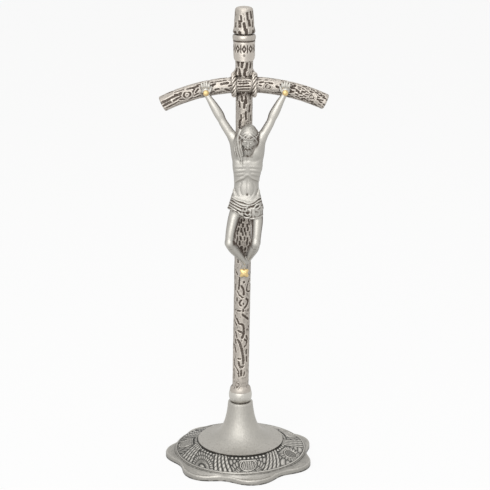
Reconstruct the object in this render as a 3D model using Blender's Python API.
"""Standing altar crucifix: a bark-textured post with a bowed crossbeam lapped into it,
lashed with rope, carrying a cast corpus on three nails, and screwed to a bell-shaped foot.

Metres, +Z up, origin on the table midway between the beam's ends. The front faces -Y.
Left and right are the viewer's. Run with: blender --background --python part.py
"""
from math import asin, cos, hypot, pi, radians, sin, sqrt

import bmesh
import bpy
from mathutils import Vector

# Fit between pieces that touch or pass through each other
GAP = 0.0003
# How far a cutter runs out past the surface that it opens
RUN_OUT = 0.0030

# Foot plate: a scalloped casting, hollow below
LOBES = 7
FOOT_TIP_RADIUS = 0.0547
LOBE_SWING = 0.0033
LOBE_FULLNESS = 0.00025
LOBE_TURN = radians(-77.7)
LOBE_STEPS = 8
FOOT_DISC_TOP = 0.0120
FOOT_DISC_WALL = 0.0028
FOOT_SHELL = 0.0022
FOOT_RIM_HEIGHT = 0.0041
FOOT_DISH_HEIGHT = 0.0028
FOOT_RIM_WIDTH = 0.0021
FOOT_BEARING_WIDTH = 0.0033
FOOT_EDGE_ROUND = 0.0007
BAND_LEDGE_WIDTH = 0.0006
BAND_LEDGE_SINK = 0.0004

# Ornament band: a conical ring let into the foot plate
BAND_OUTER_RADIUS = 0.0469
BAND_OUTER_HEIGHT = 0.0063
BAND_BORE_RADIUS = 0.0293
BAND_THICKNESS = 0.0014
BAND_RIM_WIDTH = 0.0009
RIBS_PER_GROUP = 4
RIB_PITCH = radians(4.5)
RIB_FLAT = 0.46
RIB_HEIGHT = 0.0006
SHELL_FLUTES = 3
SHELL_SPREAD = radians(14.0)
# How far each group's inner and outer ends are turned from the notch that the group stands at
RIB_LEAN = radians(8)
RIB_ENDS = (
    (1.0, -1.25), (-1.0, 1.0), (1.0, -1.0), (-1.0, 1.0), (1.0, -1.0), (-1.0, 1.0), (-1.6, -0.12),
)

# Bell neck: a spun shell with a concave flare
BELL_SKIRT_RADIUS = 0.0308
BELL_LIP_RADIUS = 0.0089
BELL_HEIGHT = 0.0303
BELL_WALL = 0.0015
BELL_EDGE = 0.0008
BELL_HEAD = 0.0040
BELL_STEPS = 10
BELL_SEGMENTS = 36

# Knop: the bun-shaped collar between the bell and the post
KNOP_RADIUS = 0.0083
KNOP_HEIGHT = 0.0078
KNOP_NECK = 0.0009
KNOP_BELLY = 0.0023
KNOP_ARC = radians(124)
KNOP_SEGMENTS = 28
KNOP_STEPS = 6

# Tie rod with its washer and nut
ROD_RADIUS = 0.0025
ROD_GRIP = 0.0170
ROD_TAIL = 0.0010
WASHER_RADIUS = 0.0062
WASHER_THICKNESS = 0.0010
NUT_ACROSS_FLATS = 0.0080
NUT_THICKNESS = 0.0034
ROUND_STEPS = 20

# Post: gently bent, with carved bark
POST_LENGTH = 0.2785
POST_RADIUS = 0.0058
POST_TOP_SWELL = 0.0011
POST_TITLE_SWELL = 0.0003
POST_TOP_TAPER = 0.0009
POST_SHOULDER = 0.0024
POST_FOOT_SWELL = 0.0016
POST_BEND = 0.0028
POST_DOME = 0.0006
POST_CROWN_SHARE = 0.86
POST_SIDES = 20
POST_RING_PITCH = 0.0068
BARK_DEPTH = 0.0006
BARK_PITCH = 0.0240

# Crossbeam: a bowed log, halved into the post
BEAM_HEIGHT = 0.2768
BEAM_RADIUS = 0.00545
BEAM_FORWARD = 0.0040
BEAM_BOW_RADIUS = 0.1280
BEAM_LEFT_REACH = 0.0565
BEAM_RIGHT_REACH = 0.0558
BEAM_TILT = radians(0.6)
BEAM_RINGS = 24
NOTCH_REACH = 2.2
LAP_FORWARD = 0.0012
DOWEL_RADIUS = 0.0014
DOWEL_LENGTH = 0.0060

# Rope lashing round the crossing
ROPE_RADIUS = 0.00155
ROPE_STRAND_OFFSET = 0.0062
ROPE_REAR_RISE = 0.0040
ROPE_END_GAP = 0.0008
ROPE_POINTS = 60

# Title scroll nailed to the front of the post
SCROLL_TOP_DROP = 0.0187
SCROLL_HEIGHT = 0.0178
SCROLL_THICKNESS = 0.0008
SCROLL_ROLL = 0.0041
SCROLL_ROLL_SWELL = 0.0006
SCROLL_CREASE = 0.0004
SCROLL_CORNER = 0.0050
SCROLL_WRAP = radians(96)
SCROLL_TAPER = radians(38)
SCROLL_STEPS = 16
TITLE_NAIL_RISE = 0.0042
TITLE_NAIL_SHANK = 0.0005
TITLE_NAIL_HEAD = 0.0009
TITLE_NAIL_LENGTH = 0.0040

# Corpus: one casting, hung from the beam by the hands and nailed at the feet
HAND_LEFT_REACH = 0.0260
HAND_RIGHT_REACH = 0.0280
HAND_NAIL_DROP = 0.0013
FEET_DROP = 0.1289
FEET_NAIL_OFFSET = 0.0012
HAND_THICKNESS = 0.0026
FOOT_STACK = 0.0056
FIGURE_UNITS = 128.9
LIMB_SIDES = 12
TORSO_SIDES = 16

# Nails
NAIL_SHANK_RADIUS = 0.0007
NAIL_HEAD_RADIUS = 0.0021
NAIL_HEAD_HEIGHT = 0.0015
NAIL_BITE = 0.0045
FEET_NAIL_SHANK_RADIUS = 0.0009
FEET_NAIL_HEAD_RADIUS = 0.0033
FEET_NAIL_HEAD_HEIGHT = 0.0018

# Heights that follow from the stack of pieces
BELL_BASE = FOOT_DISC_TOP + 2 * GAP
BELL_TOP = BELL_BASE + BELL_HEIGHT
KNOP_BASE = BELL_TOP + GAP
KNOP_TOP = KNOP_BASE + KNOP_HEIGHT
POST_BASE = KNOP_TOP + GAP
POST_TOP = POST_BASE + POST_LENGTH
SCROLL_TOP = POST_TOP - SCROLL_TOP_DROP
SCROLL_BASE = SCROLL_TOP - SCROLL_HEIGHT
ROD_BORE_RADIUS = ROD_RADIUS + GAP


def clear_scene():
    """Remove every object, so that the script can be run again in one session."""
    for item in list(bpy.data.objects):
        bpy.data.objects.remove(item, do_unlink=True)


def stand_on_origin():
    """Parent the whole cross to an empty that sets the middle of the beam over the origin.

    Everything above is laid out from the foot's own axis, which the bent post leaves to one side.
    """
    left, right = (beam_frame(turn) for turn in beam_turns())
    edges = [centre.x + side * BEAM_RADIUS * abs(outward.x) for side, (centre, outward)
             in ((-1, left), (1, right))]
    assembly = bpy.data.objects.new("altar_crucifix", None)
    assembly.location.x = -sum(edges) / 2
    pieces = list(bpy.data.objects)
    bpy.context.collection.objects.link(assembly)
    for item in pieces:
        if item is not assembly:
            item.parent = assembly


def finish(name, colour, roughness, metallic=1.0):
    """One Principled material for one sub-part."""
    material = bpy.data.materials.new(name + "_finish")
    material.use_nodes = True
    shader = material.node_tree.nodes["Principled BSDF"]
    shader.inputs["Base Color"].default_value = (*colour, 1.0)
    shader.inputs["Roughness"].default_value = roughness
    shader.inputs["Metallic"].default_value = metallic
    return material


SILVER = (0.56, 0.55, 0.52)
AGED_SILVER = (0.42, 0.39, 0.35)
DARK_SILVER = (0.22, 0.21, 0.19)
GOLD = (0.80, 0.60, 0.25)
STEEL = (0.50, 0.50, 0.50)


def add_object(name, mesh_builder, colour, roughness, location=(0, 0, 0), smooth=40):
    """Turn a bmesh into a named object with its own finish."""
    mesh = bpy.data.meshes.new(name)
    bmesh.ops.recalc_face_normals(mesh_builder, faces=mesh_builder.faces)
    mesh_builder.to_mesh(mesh)
    mesh_builder.free()
    mesh.shade_smooth()
    mesh.set_sharp_from_angle(angle=radians(smooth))
    mesh.materials.append(finish(name, colour, roughness))
    item = bpy.data.objects.new(name, mesh)
    item.location = location
    bpy.context.collection.objects.link(item)
    return item


def loft(rings, closed=False):
    """Skin equal rings of points into a closed body, capped at both ends unless closed."""
    body = bmesh.new()
    rows = [[body.verts.new(point) for point in ring] for ring in rings]
    count = len(rows[0])
    last = len(rows) if closed else len(rows) - 1
    for index in range(last):
        here, there = rows[index], rows[(index + 1) % len(rows)]
        for side in range(count):
            nxt = (side + 1) % count
            body.faces.new((here[side], here[nxt], there[nxt], there[side]))
    if not closed:
        body.faces.new(rows[0])
        body.faces.new(reversed(rows[-1]))
    return body


def turned(profile, segments, bored=True):
    """Revolve a profile of (radius, height). A bored profile is a closed loop."""
    rings = []
    for radius, height in profile:
        ring = []
        for step in range(segments):
            angle = 2 * pi * step / segments
            ring.append((radius * cos(angle), radius * sin(angle), height))
        rings.append(ring)
    return loft(rings, closed=bored)


def as_cutter(item):
    """Mark an object as a tool that is not itself a piece."""
    item.hide_render = True
    item.display_type = "WIRE"
    return item


def cut(target, tool, operation="DIFFERENCE"):
    """Stack an exact Boolean on the target."""
    modifier = target.modifiers.new(operation.lower() + "_" + tool.name, "BOOLEAN")
    modifier.operation = operation
    modifier.solver = "EXACT"
    modifier.object = tool


def y_bore(name, centre, radius, front, back, segments=12):
    """A round cutter along Y."""
    rings = []
    for y in (front, back):
        ring = []
        for step in range(segments):
            angle = 2 * pi * (step + 0.5) / segments
            ring.append((centre.x + radius * cos(angle), y, centre.z + radius * sin(angle)))
        rings.append(ring)
    return as_cutter(add_object(name, loft(rings), STEEL, 0.4))


def smooth_step(value):
    """Ease from 0 to 1."""
    value = min(max(value, 0.0), 1.0)
    return value * value * (3 - 2 * value)


# Foot plate and ornament band

def lobe_radius(angle):
    """Outer edge of the foot: a smooth wave, a little fuller at the lobes."""
    phase = LOBES * (angle - LOBE_TURN)
    wave = FOOT_TIP_RADIUS - LOBE_SWING * (1 - cos(phase))
    return wave + LOBE_FULLNESS * (1 - cos(2 * phase))


def band_top(radius):
    """Height of the band's conical face."""
    slope = (FOOT_DISC_TOP + GAP - BAND_OUTER_HEIGHT) / (BAND_OUTER_RADIUS - BELL_SKIRT_RADIUS)
    return BAND_OUTER_HEIGHT + (BAND_OUTER_RADIUS - radius) * slope


def band_bed(radius):
    """Height of the foot plate's bed under the band."""
    return band_top(radius) - BAND_THICKNESS - GAP


def build_foot_plate():
    """A ledge round the band, a dish in each lobe, and a rolled edge whose wall is plain at the notches."""
    bore = ROD_BORE_RADIUS
    disc = BAND_BORE_RADIUS - GAP
    wall = BAND_OUTER_RADIUS + GAP
    ledge = wall + BAND_LEDGE_WIDTH
    ledge_top = BAND_OUTER_HEIGHT - BAND_LEDGE_SINK
    underside = FOOT_DISC_TOP - FOOT_DISC_WALL
    slope_run = (band_bed(disc) - FOOT_SHELL - underside) / (band_bed(disc) - band_bed(disc + 1.0))
    ceiling_inner = disc + slope_run
    valley = lobe_radius(LOBE_TURN + pi / LOBES)
    bearing = valley - FOOT_BEARING_WIDTH - FOOT_EDGE_ROUND
    tip_room = FOOT_TIP_RADIUS - ledge
    count = LOBES * LOBE_STEPS
    angles = [LOBE_TURN + 2 * pi * step / count for step in range(count)]

    def circle(radius, height):
        return [(radius * cos(a), radius * sin(a), height) for a in angles]

    def lobed(inset, height, notch_share):
        """A ring that lies a fixed way in from the edge of a lobe and runs down the wall at a notch."""
        ring = []
        for a in angles:
            room = lobe_radius(a) - ledge
            radius = ledge + max(room - inset, room * notch_share)
            notch_height = ledge_top * sqrt(1 - notch_share ** 2)
            dished = smooth_step(room / tip_room / 0.65)
            ring.append((radius * cos(a), radius * sin(a), notch_height + (height - notch_height) * dished))
        return ring

    rim = FOOT_RIM_HEIGHT
    rim_width = FOOT_RIM_WIDTH
    rings = [
        circle(bore, FOOT_DISC_TOP),
        circle(disc, FOOT_DISC_TOP),
        circle(disc, band_bed(disc)),
        circle(wall, band_bed(wall)),
        circle(wall, ledge_top),
        circle(ledge, ledge_top),
        lobed(tip_room - rim_width / 2, rim, 0.10),
        lobed(2 * rim_width, FOOT_DISH_HEIGHT, 0.30),
        lobed(1.4 * rim_width, FOOT_DISH_HEIGHT, 0.50),
        lobed(rim_width, rim, 0.70),
        lobed(rim_width / 3, rim - FOOT_EDGE_ROUND / 2, 0.90),
        lobed(0.0, rim / 2, 0.97),
    ]
    foot_edge = [lobe_radius(a) - FOOT_EDGE_ROUND for a in angles]
    rings.append([(r * cos(a), r * sin(a), 0.0) for r, a in zip(foot_edge, angles)])
    rings.append(circle(bearing, 0.0))
    rings.append(circle(bearing, band_bed(bearing) - FOOT_SHELL))
    rings.append(circle(ceiling_inner, underside))
    rings.append(circle(bore, underside))
    return add_object("foot_plate", loft(rings, closed=True), SILVER, 0.35, smooth=50)


def rib_group_turn(group, share):
    """Turn of a group of ribs, part of the way from its inner end to its outer end."""
    inner, outer = RIB_ENDS[group % LOBES]
    notch = LOBE_TURN + (2 * group + 1) * pi / LOBES
    return notch + RIB_LEAN * (inner + (outer - inner) * share)


def build_ornament_band():
    """The ring with its seven groups of leaning ribs and a fluted shell between each two."""
    inner_rib = BELL_SKIRT_RADIUS + BAND_RIM_WIDTH
    outer_rib = BAND_OUTER_RADIUS - BAND_RIM_WIDTH

    def lean_at(radius):
        return (radius - BELL_SKIRT_RADIUS) / (BAND_OUTER_RADIUS - BELL_SKIRT_RADIUS)

    def stations_at(share):
        """Turns round the band where the relief goes up (1) or down (0), which lean with the ribs."""
        stations = []
        for group in range(LOBES):
            middle = rib_group_turn(group, share)
            following = rib_group_turn(group + 1, share)
            first = middle - RIBS_PER_GROUP * RIB_PITCH / 2
            stations.append((first, 0))
            for rib in range(RIBS_PER_GROUP):
                for step, raised in ((0.5 - RIB_FLAT / 2, 1), (0.5 + RIB_FLAT / 2, 1), (1.0, 0)):
                    stations.append((first + (rib + step) * RIB_PITCH, raised))
            shell = (middle + following) / 2
            plain = (shell - middle - RIBS_PER_GROUP * RIB_PITCH / 2 - SHELL_SPREAD / 2) / 2
            stations.append((shell - SHELL_SPREAD / 2 - plain, 0))
            for step in range(2 * SHELL_FLUTES + 1):
                stations.append((shell + SHELL_SPREAD * (step / (2 * SHELL_FLUTES) - 0.5), step % 2))
            stations.append((shell + SHELL_SPREAD / 2 + plain, 0))
        return stations

    def ring_at(radius, height, ribbed, share):
        lift = RIB_HEIGHT * ribbed
        return [(radius * cos(a), radius * sin(a), height + lift * raised)
                for a, raised in stations_at(share)]

    def plain_ring(radius, height):
        """A ring of the bore or the underside, its points spaced evenly."""
        stations = stations_at(0.5)
        start = stations[0][0]
        turns = [start + 2 * pi * index / len(stations) for index in range(len(stations))]
        return [(radius * cos(a), radius * sin(a), height) for a in turns]

    face = (
        (inner_rib, 0), (inner_rib + RIB_HEIGHT, 1), (outer_rib - RIB_HEIGHT, 1), (outer_rib, 0),
    )
    rings = [
        plain_ring(BAND_BORE_RADIUS, FOOT_DISC_TOP + GAP),
        ring_at(BELL_SKIRT_RADIUS, FOOT_DISC_TOP + GAP, 0, 0.0),
    ]
    for radius, ribbed in face:
        rings.append(ring_at(radius, band_top(radius) - RIB_HEIGHT / 2, ribbed, lean_at(radius)))
    rings += [
        ring_at(BAND_OUTER_RADIUS, BAND_OUTER_HEIGHT, 0, 1.0),
        plain_ring(BAND_OUTER_RADIUS, BAND_OUTER_HEIGHT - BAND_THICKNESS),
        plain_ring(BAND_BORE_RADIUS, band_bed(BAND_BORE_RADIUS) + GAP),
    ]
    return add_object("ornament_band", loft(rings, closed=True), DARK_SILVER, 0.5, smooth=25)


# Bell neck, knop and the tie rod that draws them together

def bezier(points, share):
    """A point on a cubic Bezier curve of (radius, height) pairs."""
    rest = 1 - share
    weights = (rest ** 3, 3 * rest ** 2 * share, 3 * rest * share ** 2, share ** 3)
    radius = sum(w * p[0] for w, p in zip(weights, points))
    height = sum(w * p[1] for w, p in zip(weights, points))
    return radius, height


def build_bell_neck():
    """The outer flare runs from the lip to the skirt, and the inner wall follows it."""
    skirt = BELL_SKIRT_RADIUS - BELL_LIP_RADIUS
    shoulder = BELL_HEIGHT - 0.8 * BELL_EDGE
    outer = (
        (BELL_LIP_RADIUS, shoulder),
        (BELL_LIP_RADIUS + 0.07 * skirt, 0.38 * BELL_HEIGHT),
        (BELL_LIP_RADIUS + 0.27 * skirt, 0.065 * BELL_HEIGHT),
        (BELL_SKIRT_RADIUS, BELL_EDGE),
    )
    bore = ROD_BORE_RADIUS
    profile = [(bore, BELL_HEIGHT), (BELL_LIP_RADIUS - BELL_EDGE, BELL_HEIGHT)]
    profile += [bezier(outer, step / BELL_STEPS) for step in range(BELL_STEPS + 1)]
    profile += [(BELL_SKIRT_RADIUS, 0.0), (BAND_BORE_RADIUS + GAP, 0.0)]
    inner = []
    for step in range(BELL_STEPS - 1, 0, -1):
        radius, height = bezier(outer, step / BELL_STEPS)
        ahead = bezier(outer, (step + 0.5) / BELL_STEPS)
        behind = bezier(outer, (step - 0.5) / BELL_STEPS)
        run, drop = ahead[0] - behind[0], ahead[1] - behind[1]
        length = hypot(run, drop)
        inside = radius + BELL_WALL * drop / length
        below = height - BELL_WALL * run / length
        clear_of_band = inside < BAND_BORE_RADIUS - BELL_WALL
        if clear_of_band and BELL_EDGE / 2 < below < BELL_HEIGHT - BELL_HEAD:
            inner.append((inside, below))
    profile += inner
    profile += [(inner[-1][0], BELL_HEIGHT - BELL_HEAD), (bore, BELL_HEIGHT - BELL_HEAD)]
    body = turned(profile, BELL_SEGMENTS)
    return add_object("bell_neck", body, SILVER, 0.38, location=(0, 0, BELL_BASE))


def build_knop():
    """A bun-shaped collar with a necked joint at its foot."""
    profile = [(ROD_BORE_RADIUS, 0.0), (KNOP_RADIUS - KNOP_NECK, 0.0)]
    for step in range(KNOP_STEPS + 1):
        turn = KNOP_ARC * (step / KNOP_STEPS - 0.5)
        radius = KNOP_RADIUS - KNOP_BELLY * (1 - cos(turn))
        rise = KNOP_HEIGHT / 2 + (KNOP_HEIGHT / 2 - GAP) * sin(turn) / sin(KNOP_ARC / 2)
        profile.append((radius, rise))
    profile += [(POST_RADIUS + POST_FOOT_SWELL, KNOP_HEIGHT), (ROD_BORE_RADIUS, KNOP_HEIGHT)]
    body = turned(profile, KNOP_SEGMENTS)
    return add_object("knop", body, SILVER, 0.3, location=(0, 0, KNOP_BASE))


def build_tie_rod():
    washer_top = FOOT_DISC_TOP - FOOT_DISC_WALL - GAP
    nut_top = washer_top - WASHER_THICKNESS - GAP
    rod_base = nut_top - NUT_THICKNESS - ROD_TAIL
    rod_top = POST_BASE + ROD_GRIP
    bevel = ROD_RADIUS / 5
    length = rod_top - rod_base
    rod = turned([(ROD_RADIUS - bevel, 0.0), (ROD_RADIUS, bevel), (ROD_RADIUS, length - bevel),
                  (ROD_RADIUS - bevel, length)], ROUND_STEPS, bored=False)
    add_object("tie_rod", rod, STEEL, 0.35, location=(0, 0, rod_base))
    washer = turned([(ROD_BORE_RADIUS, 0.0), (WASHER_RADIUS, 0.0), (WASHER_RADIUS, WASHER_THICKNESS),
                     (ROD_BORE_RADIUS, WASHER_THICKNESS)], ROUND_STEPS)
    add_object("washer", washer, STEEL, 0.4, location=(0, 0, washer_top - WASHER_THICKNESS))
    build_hex_nut(nut_top - NUT_THICKNESS)


def build_hex_nut(base):
    """A hexagon with its corners eased, bored for the rod."""
    sides = 6
    steps = sides * 4
    corner = NUT_ACROSS_FLATS / 2 / cos(pi / sides)
    ease = (corner - NUT_ACROSS_FLATS / 2) * 0.8

    def hexagon(limit):
        ring = []
        for step in range(steps):
            angle = 2 * pi * step / steps
            face_turn = (angle + pi / sides) % (2 * pi / sides) - pi / sides
            radius = min(NUT_ACROSS_FLATS / 2 / cos(face_turn), limit)
            ring.append((radius * cos(angle), radius * sin(angle)))
        return ring

    rings = []
    for limit, height in ((corner - ease, 0.0), (corner, ease), (corner, NUT_THICKNESS - ease),
                          (corner - ease, NUT_THICKNESS)):
        rings.append([(x, y, height) for x, y in hexagon(limit)])
    for height in (NUT_THICKNESS, 0.0):
        ring = []
        for step in range(steps):
            angle = 2 * pi * step / steps
            ring.append((ROD_BORE_RADIUS * cos(angle), ROD_BORE_RADIUS * sin(angle), height))
        rings.append(ring)
    add_object("hex_nut", loft(rings, closed=True), STEEL, 0.4, location=(0, 0, base), smooth=20)


# Post and crossbeam

def post_centre(height):
    """The post's axis, which leans gently to the right as it rises."""
    share = (height - POST_BASE) / (POST_LENGTH * 0.86)
    return POST_BEND * sin(pi / 2 * share)


def post_radius(height):
    """Envelope of the post: swollen at the foot, behind the scroll and above it."""
    foot = POST_FOOT_SWELL * (1 - smooth_step((height - POST_BASE) / (1.2 * POST_RADIUS)))
    title = POST_TITLE_SWELL * smooth_step((height - SCROLL_BASE) / (2 * POST_RADIUS) + 1)
    shoulder = SCROLL_TOP + GAP
    crown = (POST_TOP_SWELL - POST_TITLE_SWELL) * smooth_step((height - shoulder) / POST_SHOULDER)
    taper = POST_TOP_TAPER * smooth_step((height - shoulder - POST_SHOULDER) / (POST_TOP - shoulder))
    return POST_RADIUS + foot + title + crown - taper


def bark(angle, along):
    """Depth of the carved bark below the envelope."""
    drift = 2 * pi * along / BARK_PITCH
    flow = sin(5 * angle + 0.6 * drift) * cos(drift + 2 * angle) + 0.5 * sin(3 * angle - 0.37 * drift)
    return BARK_DEPTH * (0.5 + flow / 3)


def post_ring(height, grow=0.0, carve=1.0):
    ring = []
    for side in range(POST_SIDES):
        angle = 2 * pi * side / POST_SIDES
        radius = post_radius(height) + grow - carve * bark(angle, height)
        ring.append(Vector((post_centre(height) + radius * cos(angle), radius * sin(angle), height)))
    return ring


def post_heights():
    """Heights of the post's rings: even, with a ring on each change of the envelope."""
    shoulder = SCROLL_TOP + GAP
    rim = POST_TOP - POST_DOME
    marks = [POST_BASE, POST_BASE + 0.6 * POST_RADIUS, POST_BASE + 1.2 * POST_RADIUS,
             shoulder, shoulder + POST_SHOULDER, rim - 0.5 * POST_RADIUS, rim]
    heights = []
    for low, high in zip(marks, marks[1:]):
        steps = max(round((high - low) / POST_RING_PITCH), 1)
        heights += [low + (high - low) * step / steps for step in range(steps)]
    return heights + [marks[-1]]


def build_post():
    rings = []
    for height in post_heights():
        carve = smooth_step((height - POST_BASE) / POST_RADIUS)
        carve *= smooth_step((POST_TOP - POST_DOME - height) / POST_RADIUS)
        rings.append(post_ring(height, carve=carve))
    rim = rings[-1]
    centre = Vector((post_centre(POST_TOP), 0, POST_TOP))
    crown = [centre + (point - centre) * POST_CROWN_SHARE for point in rim]
    for point in crown:
        point.z = POST_TOP
    rings.append(crown)
    return add_object("post", loft(rings), AGED_SILVER, 0.42)


def crossing():
    """Centre of the beam's section where it crosses the post."""
    return Vector((post_centre(BEAM_HEIGHT), -BEAM_FORWARD, BEAM_HEIGHT))


def beam_frame(turn):
    """Centre and outward direction of the beam's section, turned from the crown of the bow."""
    outward = Vector((sin(turn - BEAM_TILT), 0, cos(turn - BEAM_TILT)))
    crown = Vector((sin(-BEAM_TILT), 0, cos(-BEAM_TILT)))
    centre = crossing() + BEAM_BOW_RADIUS * (outward - crown)
    return centre, outward


def beam_turn_at(x):
    """Turn along the bow at which the beam's axis reaches this distance across."""
    return asin((x - crossing().x) / BEAM_BOW_RADIUS - sin(BEAM_TILT)) + BEAM_TILT


def beam_ring(turn, grow=0.0, carve=1.0):
    centre, outward = beam_frame(turn)
    forward = Vector((0, -1, 0))
    ring = []
    for side in range(POST_SIDES):
        angle = 2 * pi * side / POST_SIDES
        radius = BEAM_RADIUS + grow - carve * bark(angle, turn * BEAM_BOW_RADIUS)
        ring.append(centre + radius * (outward * cos(angle) + forward * sin(angle)))
    return ring


def beam_turns():
    """Turns along the bow at which the two ends are cut."""
    return -asin(BEAM_LEFT_REACH / BEAM_BOW_RADIUS), asin(BEAM_RIGHT_REACH / BEAM_BOW_RADIUS)


def build_crossbeam():
    start, end = beam_turns()
    rings = []
    for step in range(BEAM_RINGS + 1):
        turn = start + (end - start) * step / BEAM_RINGS
        carve = smooth_step(step) * smooth_step(BEAM_RINGS - step)
        rings.append(beam_ring(turn, carve=carve))
    return add_object("crossbeam", loft(rings), AGED_SILVER, 0.42)


def cut_lap_joint(post, beam):
    """Halve both logs, so that each fills the other's notch up to the lap plane."""
    lap = -LAP_FORWARD
    across = NOTCH_REACH * POST_RADIUS / BEAM_BOW_RADIUS
    rings = []
    for step in range(7):
        ring = beam_ring(-across + 2 * across * step / 6, grow=GAP, carve=0.0)
        for point in ring:
            point.y = min(point.y, lap)
        rings.append(ring)
    cut(post, as_cutter(add_object("post_notch", loft(rings), STEEL, 0.4)))
    rings = []
    for step in range(5):
        height = BEAM_HEIGHT + NOTCH_REACH * BEAM_RADIUS * (step / 2 - 1)
        ring = post_ring(height, grow=GAP, carve=0.0)
        for point in ring:
            point.y = max(point.y, lap - GAP)
        rings.append(ring)
    cut(beam, as_cutter(add_object("beam_notch", loft(rings), STEEL, 0.4)))


def build_lap_dowel(post, beam):
    """A blind dowel that keys the two halves together."""
    middle = crossing()
    front = -LAP_FORWARD - DOWEL_LENGTH / 2
    back = -LAP_FORWARD + DOWEL_LENGTH / 2
    rings = []
    for y in (front, back):
        ring = []
        for step in range(12):
            angle = 2 * pi * step / 12
            ring.append((DOWEL_RADIUS * cos(angle), y, DOWEL_RADIUS * sin(angle)))
        rings.append(ring)
    location = (middle.x, 0, middle.z)
    add_object("lap_dowel", loft(rings), STEEL, 0.4, location=location)
    bore = y_bore("dowel_bore", middle, DOWEL_RADIUS + GAP, front - GAP, back + GAP)
    cut(post, bore)
    cut(beam, bore)


# Rope lashing

def rope_route():
    """Down the front on the left, round the back below, up the right, round the back above.

    Both ends meet behind the post, above the beam.
    """
    middle = crossing()
    round_beam = BEAM_RADIUS + ROPE_RADIUS + GAP
    widest = max(post_radius(middle.z + side * round_beam) for side in (-1, 1))
    round_post = widest + ROPE_RADIUS + GAP
    turn = asin(min(BEAM_FORWARD / round_post, 0.9))
    route = []

    def rear_point(angle, sign):
        """Against the post's back, above (sign 1) or below (sign -1) the beam."""
        y = round_post * sin(angle)
        over_beam = sqrt(max(round_beam ** 2 - (y - middle.y) ** 2, 0.0))
        rise = max(over_beam, ROPE_REAR_RISE)
        return Vector((middle.x - round_post * cos(angle), y, middle.z + sign * rise))

    def behind(sign, start, end, steps):
        """An arc round the back of the post, without its two ends."""
        for step in range(1, steps):
            route.append(rear_point(start + (end - start) * step / steps, sign))

    def front(side, sign):
        """A strand over the front of the beam."""
        for step in range(9):
            angle = sign * (pi / 2 - pi * step / 8)
            route.append(Vector((middle.x + side * ROPE_STRAND_OFFSET,
                                 middle.y - round_beam * cos(angle),
                                 middle.z + round_beam * sin(angle))))

    rear = pi / 2 - ROPE_END_GAP / 2 / round_post
    route.append(rear_point(rear, 1))
    behind(1, rear, -turn, 6)
    front(-1, 1)
    behind(-1, -turn, pi + turn, 11)
    front(1, -1)
    behind(1, pi + turn, pi - rear, 6)
    route.append(rear_point(pi - rear, 1))
    return route


def even_points(route, count):
    """Points spaced evenly on a smooth curve through the route."""
    dense = []
    padded = [2 * route[0] - route[1]] + route + [2 * route[-1] - route[-2]]
    for index in range(1, len(padded) - 2):
        p0, p1, p2, p3 = padded[index - 1:index + 3]
        for step in range(8):
            t = step / 8
            dense.append(0.5 * (2 * p1 + (p2 - p0) * t + (2 * p0 - 5 * p1 + 4 * p2 - p3) * t * t
                                + (3 * p1 - p0 - 3 * p2 + p3) * t ** 3))
    dense.append(route[-1])
    reach = [0.0]
    for index in range(1, len(dense)):
        reach.append(reach[-1] + (dense[index] - dense[index - 1]).length)
    points = []
    cursor = 0
    for step in range(count):
        target = reach[-1] * step / (count - 1)
        while cursor < len(dense) - 2 and reach[cursor + 1] < target:
            cursor += 1
        span = reach[cursor + 1] - reach[cursor]
        share = (target - reach[cursor]) / span
        points.append(dense[cursor].lerp(dense[cursor + 1], share))
    return points, reach[-1]


def build_rope_lashing():
    points, length = even_points(rope_route(), ROPE_POINTS)
    curve = bpy.data.curves.new("rope_lashing", "CURVE")
    curve.dimensions = "3D"
    curve.bevel_depth = ROPE_RADIUS
    curve.bevel_resolution = 2
    curve.use_fill_caps = True
    spline = curve.splines.new("POLY")
    spline.points.add(len(points) - 1)
    for point, target in zip(spline.points, points):
        point.co = (*target, 1.0)
    curve.materials.append(finish("rope_lashing", AGED_SILVER, 0.45))
    item = bpy.data.objects.new("rope_lashing", curve)
    bpy.context.collection.objects.link(item)
    window = int(4 * ROPE_RADIUS / (length / ROPE_POINTS)) + 2
    least = min((points[a] - points[b]).length - 2 * ROPE_RADIUS
                for a in range(len(points)) for b in range(a + window, len(points))
                if not (a < window and b >= len(points) - window))
    print("rope lashing: length %.1f mm, least gap to itself %.2f mm, gap between its ends %.2f mm"
          % (1000 * length, 1000 * least, 1000 * (points[0] - points[-1]).length))
    return item


# Title scroll

def scroll_radius():
    """Inner radius of the scroll: clear of the post all the way up."""
    heights = [SCROLL_BASE + SCROLL_HEIGHT * step / 8 for step in range(9)]
    return max(post_radius(height) for height in heights) + GAP


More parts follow.
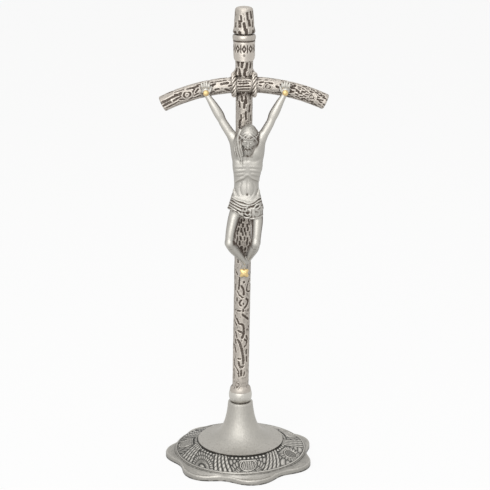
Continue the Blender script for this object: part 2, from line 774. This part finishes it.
def build_title_scroll(post):
    inner = scroll_radius()
    outer = inner + SCROLL_THICKNESS
    roll_base = SCROLL_HEIGHT - SCROLL_ROLL
    centre_x = post_centre(SCROLL_BASE + SCROLL_HEIGHT / 2)
    corner = SCROLL_CORNER
    core = inner + SCROLL_THICKNESS / 2
    profile = [(inner, 0.0), (outer, 0.0), (outer, corner * 0.3), (outer, corner)]
    profile += [(outer, roll_base - SCROLL_CREASE), (core, roll_base)]
    for step in range(5):
        turn = radians(-70 + 140 * step / 4)
        rise = roll_base + SCROLL_ROLL * (0.5 + 0.5 * sin(turn))
        profile.append((core + (outer + SCROLL_ROLL_SWELL - core) * cos(turn), rise))
    profile += [(inner, SCROLL_HEIGHT), (inner, roll_base), (inner, corner), (inner, corner * 0.3)]
    rings = []
    for step in range(SCROLL_STEPS + 1):
        share = 2 * step / SCROLL_STEPS - 1
        ring = []
        for radius, rise in profile:
            tuck = SCROLL_TAPER * (1 - sqrt(1 - (1 - min(rise / corner, 1.0)) ** 2))
            angle = share * (SCROLL_WRAP - tuck)
            ring.append((radius * sin(angle), -radius * cos(angle), rise))
        rings.append(ring)
    location = (centre_x, 0, SCROLL_BASE)
    scroll = add_object("title_scroll", loft(rings), SILVER, 0.4, location=location, smooth=30)
    nail_at = Vector((centre_x, -outer - GAP, SCROLL_BASE + TITLE_NAIL_RISE))
    build_nail("title_nail", nail_at, TITLE_NAIL_SHANK, TITLE_NAIL_HEAD, TITLE_NAIL_HEAD * 0.6,
               TITLE_NAIL_LENGTH, SILVER, points=0)
    bore = y_bore("title_nail_bore", nail_at, TITLE_NAIL_SHANK + GAP, nail_at.y - RUN_OUT,
                  nail_at.y + TITLE_NAIL_LENGTH + GAP, segments=8)
    cut(scroll, bore)
    cut(post, bore)
    return scroll


# Nails

def build_nail(name, seat, shank, head, height, length, colour, points):
    """A nail driven along +Y, its head seated at the given point.

    A head with points is a rose head, drawn out at its corners; without, it is a plain dome.
    """
    sides = 16 if points else 12
    rings = []

    def ring(radius, y, star=0.0):
        row = []
        for step in range(sides):
            angle = 2 * pi * step / sides
            reach = radius * (1 - star * (0.5 - 0.5 * cos(points * angle))) if points else radius
            row.append((reach * cos(angle), y, reach * sin(angle)))
        return row

    rings.append(ring(shank * 0.35, length))
    rings.append(ring(shank, length - 2 * shank))
    rings.append(ring(shank, 0.0))
    rings.append(ring(head, 0.0, star=0.22))
    rings.append(ring(head * 0.96, -height * 0.3, star=0.2))
    rings.append(ring(head * 0.7, -height * 0.75, star=0.1))
    rings.append(ring(head * 0.3, -height))
    return add_object(name, loft(rings), colour, 0.25, location=seat)


# Corpus

def hand_nail(side):
    """Where a hand's nail meets the beam's front. Side is -1 at the left and 1 at the right."""
    reach = HAND_LEFT_REACH if side < 0 else HAND_RIGHT_REACH
    x = crossing().x + side * reach
    centre, outward = beam_frame(beam_turn_at(x))
    return Vector((x, -BEAM_FORWARD - BEAM_RADIUS, centre.z - HAND_NAIL_DROP))


def feet_nail():
    """Where the feet's nail meets the post's front."""
    height = (hand_nail(-1).z + hand_nail(1).z) / 2 - FEET_DROP
    return Vector((post_centre(height) + FEET_NAIL_OFFSET, -post_radius(height), height))


def limb(stations, sides):
    """A rounded body through stations of (centre, half width, half depth)."""
    centres = [Vector(station[0]) for station in stations]
    rings = []
    for index, (centre, width, depth) in enumerate(stations):
        ahead = centres[min(index + 1, len(centres) - 1)]
        behind = centres[max(index - 1, 0)]
        along = (ahead - behind).normalized()
        across = along.cross(Vector((0, 1, 0))).normalized()
        forward = across.cross(along).normalized()
        ring = []
        for side in range(sides):
            angle = 2 * pi * side / sides
            ring.append(Vector(centre) + across * width * cos(angle) + forward * depth * sin(angle))
        rings.append(ring)
    return loft(rings)


def rounded(stations, first=True, last=True):
    """Add a small domed station beyond each end of a limb."""
    result = list(stations)
    if first:
        (c0, w0, d0), (c1, _, _) = stations[0], stations[1]
        away = (Vector(c0) - Vector(c1)).normalized() * min(w0, d0) * 0.7
        result.insert(0, (Vector(c0) + away, w0 * 0.55, d0 * 0.55))
    if last:
        (c0, w0, d0), (c1, _, _) = stations[-1], stations[-2]
        away = (Vector(c0) - Vector(c1)).normalized() * min(w0, d0) * 0.7
        result.append((Vector(c0) + away, w0 * 0.55, d0 * 0.55))
    return result


def build_corpus():
    """The figure as overlapping limbs united into one casting, bored for its nails.

    It is laid out in units of which FIGURE_UNITS span the drop from hand nails to feet nail.
    """
    left, right = hand_nail(-1), hand_nail(1)
    feet = feet_nail()
    top = (left.z + right.z) / 2
    middle = crossing().x
    face = -(POST_RADIUS + GAP)
    unit = FEET_DROP / FIGURE_UNITS

    def at(x, forward, down):
        """A point of the body: units across, forward of the post and down from the hands."""
        return Vector((middle + x * unit, face - forward * unit, top - down * unit))

    def part_of(name, stations, sides=LIMB_SIDES, first=True, last=True):
        sized = [(centre, width * unit, depth * unit) for centre, width, depth in stations]
        body = limb(rounded(sized, first, last), sides)
        return add_object(name, body, SILVER, 0.36)

    torso = part_of("corpus", [
        (at(2.2, 6.6, 31.0), 6.4, 3.6),
        (at(2.3, 6.8, 34.0), 10.0, 4.7),
        (at(2.4, 7.0, 39.0), 11.1, 5.6),
        (at(2.2, 7.2, 46.0), 10.6, 6.0),
        (at(1.9, 7.2, 54.0), 9.9, 5.7),
        (at(1.5, 6.8, 61.0), 9.0, 4.8),
        (at(1.5, 6.4, 66.0), 8.7, 4.5),
        (at(1.4, 6.6, 71.0), 9.4, 5.0),
        (at(1.3, 7.0, 79.0), 9.6, 5.3),
    ], TORSO_SIDES)
    pieces = []
    pieces.append(part_of("loincloth_form", [
        (at(1.6, 6.9, 71.2), 10.0, 5.6),
        (at(1.0, 7.2, 76.5), 11.7, 6.4),
        (at(0.9, 7.9, 82.0), 12.3, 7.0),
        (at(0.7, 9.0, 87.5), 12.6, 7.6),
    ], TORSO_SIDES, first=False, last=False))
    pieces.append(part_of("knot_form", [
        (at(9.6, 12.4, 76.5), 2.4, 1.8),
        (at(9.9, 13.6, 82.0), 2.9, 2.2),
        (at(10.4, 13.6, 88.0), 2.0, 1.4),
    ], 8))
    pieces.append(part_of("head_form", [
        (at(2.5, 8.6, 23.4), 3.6, 3.8),
        (at(2.6, 9.8, 25.4), 5.7, 6.0),
        (at(2.7, 11.0, 29.8), 6.7, 6.8),
        (at(2.8, 12.4, 34.8), 6.2, 6.2),
        (at(2.9, 13.8, 39.4), 4.6, 4.4),
        (at(3.0, 14.6, 42.8), 2.6, 2.4),
    ]))
    pieces.append(part_of("hair_form", [
        (at(-3.4, 9.6, 29.0), 2.2, 3.4),
        (at(-3.2, 10.2, 36.0), 2.3, 3.2),
        (at(-2.2, 11.2, 43.0), 1.9, 2.4),
        (at(-0.9, 12.0, 49.0), 1.1, 1.4),
    ], 8))
    pieces.append(part_of("neck_form", [
        (at(2.2, 6.8, 35.0), 4.0, 3.8),
        (at(2.4, 8.4, 28.0), 3.7, 3.8),
    ], 10))
    for side, nail in ((-1, left), (1, right)):
        shift = 0.6 if side > 0 else 0.0
        hand_y = nail.y - GAP - HAND_THICKNESS / 2

        def palm(x, down, y=0.0):
            """A point of the hand: outward from its nail, below it and forward."""
            return Vector((nail.x + x * unit, hand_y - y * unit, nail.z - down * unit))

        def arm(share, bow):
            """A point on the straight line from the shoulder to the wrist, bowed outward."""
            start = at(1.9 + side * 9.2, 6.6, 31.0)
            point = start.lerp(palm(-side * 1.6, 2.6), share)
            return point + Vector((side * bow * unit, 0, bow * unit / 2))

        pieces.append(part_of("arm_form_%s" % ("left" if side < 0 else "right"), [
            (at(1.9 + side * 6.4, 6.9, 37.5), 3.8, 3.6),
            (arm(0.0, 0.0), 3.5, 3.4),
            (arm(0.17, 0.0), 3.15, 3.1),
            (arm(0.35, 0.1 + shift), 2.75, 2.6),
            (arm(0.57, -0.1 + shift), 3.05, 2.7),
            (arm(0.75, -0.2 + shift / 2), 2.7, 2.2),
            (arm(0.92, -0.2), 2.1, 1.6),
            (palm(-side * 0.6, 0.0), 2.3, 1.3),
            (palm(0.1, -2.8), 3.5, 1.25),
            (palm(0.2, -5.6), 3.0, 1.1),
            (palm(0.1, -7.6, 0.1), 2.0, 0.9),
        ]))
    for side, crossed in ((-1, 1), (1, 0)):
        name = "left" if side < 0 else "right"
        knee = at(-10.4 if side < 0 else 8.9, 14.0, 106.5)
        pieces.append(part_of("thigh_form_" + name, [
            (at(1.4 + side * 4.6, 7.4, 78.0), 5.0, 4.8),
            (at(0.8 + side * 7.2, 9.8, 89.0), 4.6, 4.6),
            (at(-0.1 + side * 9.4, 12.6, 98.5), 3.5, 3.8),
            (knee, 3.2, 3.4),
        ]))
        lift = 1.9 if crossed else 0.0

        def sole(x, down, forward):
            """A point of the foot: across and below its nail, and forward of the post's face."""
            y = feet.y - GAP - (forward + lift) * unit
            return Vector((feet.x + x * unit, y, feet.z - down * unit))

        swing = 1.6 if side > 0 else 0.0
        ankle = sole(0.4 + swing, -8.4, 3.6)
        calf = Vector((side * 0.8 * unit, -0.4 * unit, 0))
        pieces.append(part_of("shin_form_" + name, [
            (knee, 3.1, 3.2),
            (knee.lerp(ankle, 0.35) + calf, 2.9, 2.9),
            (knee.lerp(ankle, 0.7), 2.3, 2.3),
            (ankle, 1.9, 2.0),
            (sole(0.3 + swing * 0.5, -5.0, 2.2), 2.4, 1.7),
            (sole(0.1, 0.0, 1.5), 3.1, 1.3),
            (sole(0.1, 2.8, 1.2), 2.9, 1.1),
        ]))
    for piece in pieces:
        cut(torso, as_cutter(piece), "UNION")
    return torso


def nail_corpus(corpus, post, beam):
    """Bore the hands, the feet, the beam and the post, and drive the nails."""
    for name, side in (("nail_hand_left", -1), ("nail_hand_right", 1)):
        seat = hand_nail(side)
        seat.y -= HAND_THICKNESS + 2 * GAP
        length = HAND_THICKNESS + NAIL_BITE
        build_nail(name, seat, NAIL_SHANK_RADIUS, NAIL_HEAD_RADIUS, NAIL_HEAD_HEIGHT,
                   length, GOLD, points=0)
        bore = y_bore(name + "_bore", seat, NAIL_SHANK_RADIUS + GAP, seat.y - RUN_OUT,
                      seat.y + length + GAP)
        cut(corpus, bore)
        cut(beam, bore)
    seat = feet_nail()
    seat.y -= FOOT_STACK + 2 * GAP
    length = FOOT_STACK + NAIL_BITE
    build_nail("nail_feet", seat, FEET_NAIL_SHANK_RADIUS, FEET_NAIL_HEAD_RADIUS, FEET_NAIL_HEAD_HEIGHT,
               length, GOLD, points=4)
    bore = y_bore("nail_feet_bore", seat, FEET_NAIL_SHANK_RADIUS + GAP, seat.y - RUN_OUT,
                  seat.y + length + GAP)
    cut(corpus, bore)
    cut(post, bore)


def bore_post_for_rod(post):
    """The blind hole that the tie rod screws into."""
    rings = []
    for height in (POST_BASE - RUN_OUT, POST_BASE + ROD_GRIP + GAP):
        ring = []
        for step in range(ROUND_STEPS):
            angle = 2 * pi * step / ROUND_STEPS
            ring.append((ROD_BORE_RADIUS * cos(angle), ROD_BORE_RADIUS * sin(angle), height))
        rings.append(ring)
    cut(post, as_cutter(add_object("rod_bore", loft(rings), STEEL, 0.4)))


def main():
    clear_scene()
    build_foot_plate()
    build_ornament_band()
    build_bell_neck()
    build_knop()
    build_tie_rod()
    post = build_post()
    beam = build_crossbeam()
    cut_lap_joint(post, beam)
    build_lap_dowel(post, beam)
    bore_post_for_rod(post)
    build_rope_lashing()
    build_title_scroll(post)
    corpus = build_corpus()
    nail_corpus(corpus, post, beam)
    stand_on_origin()


main()
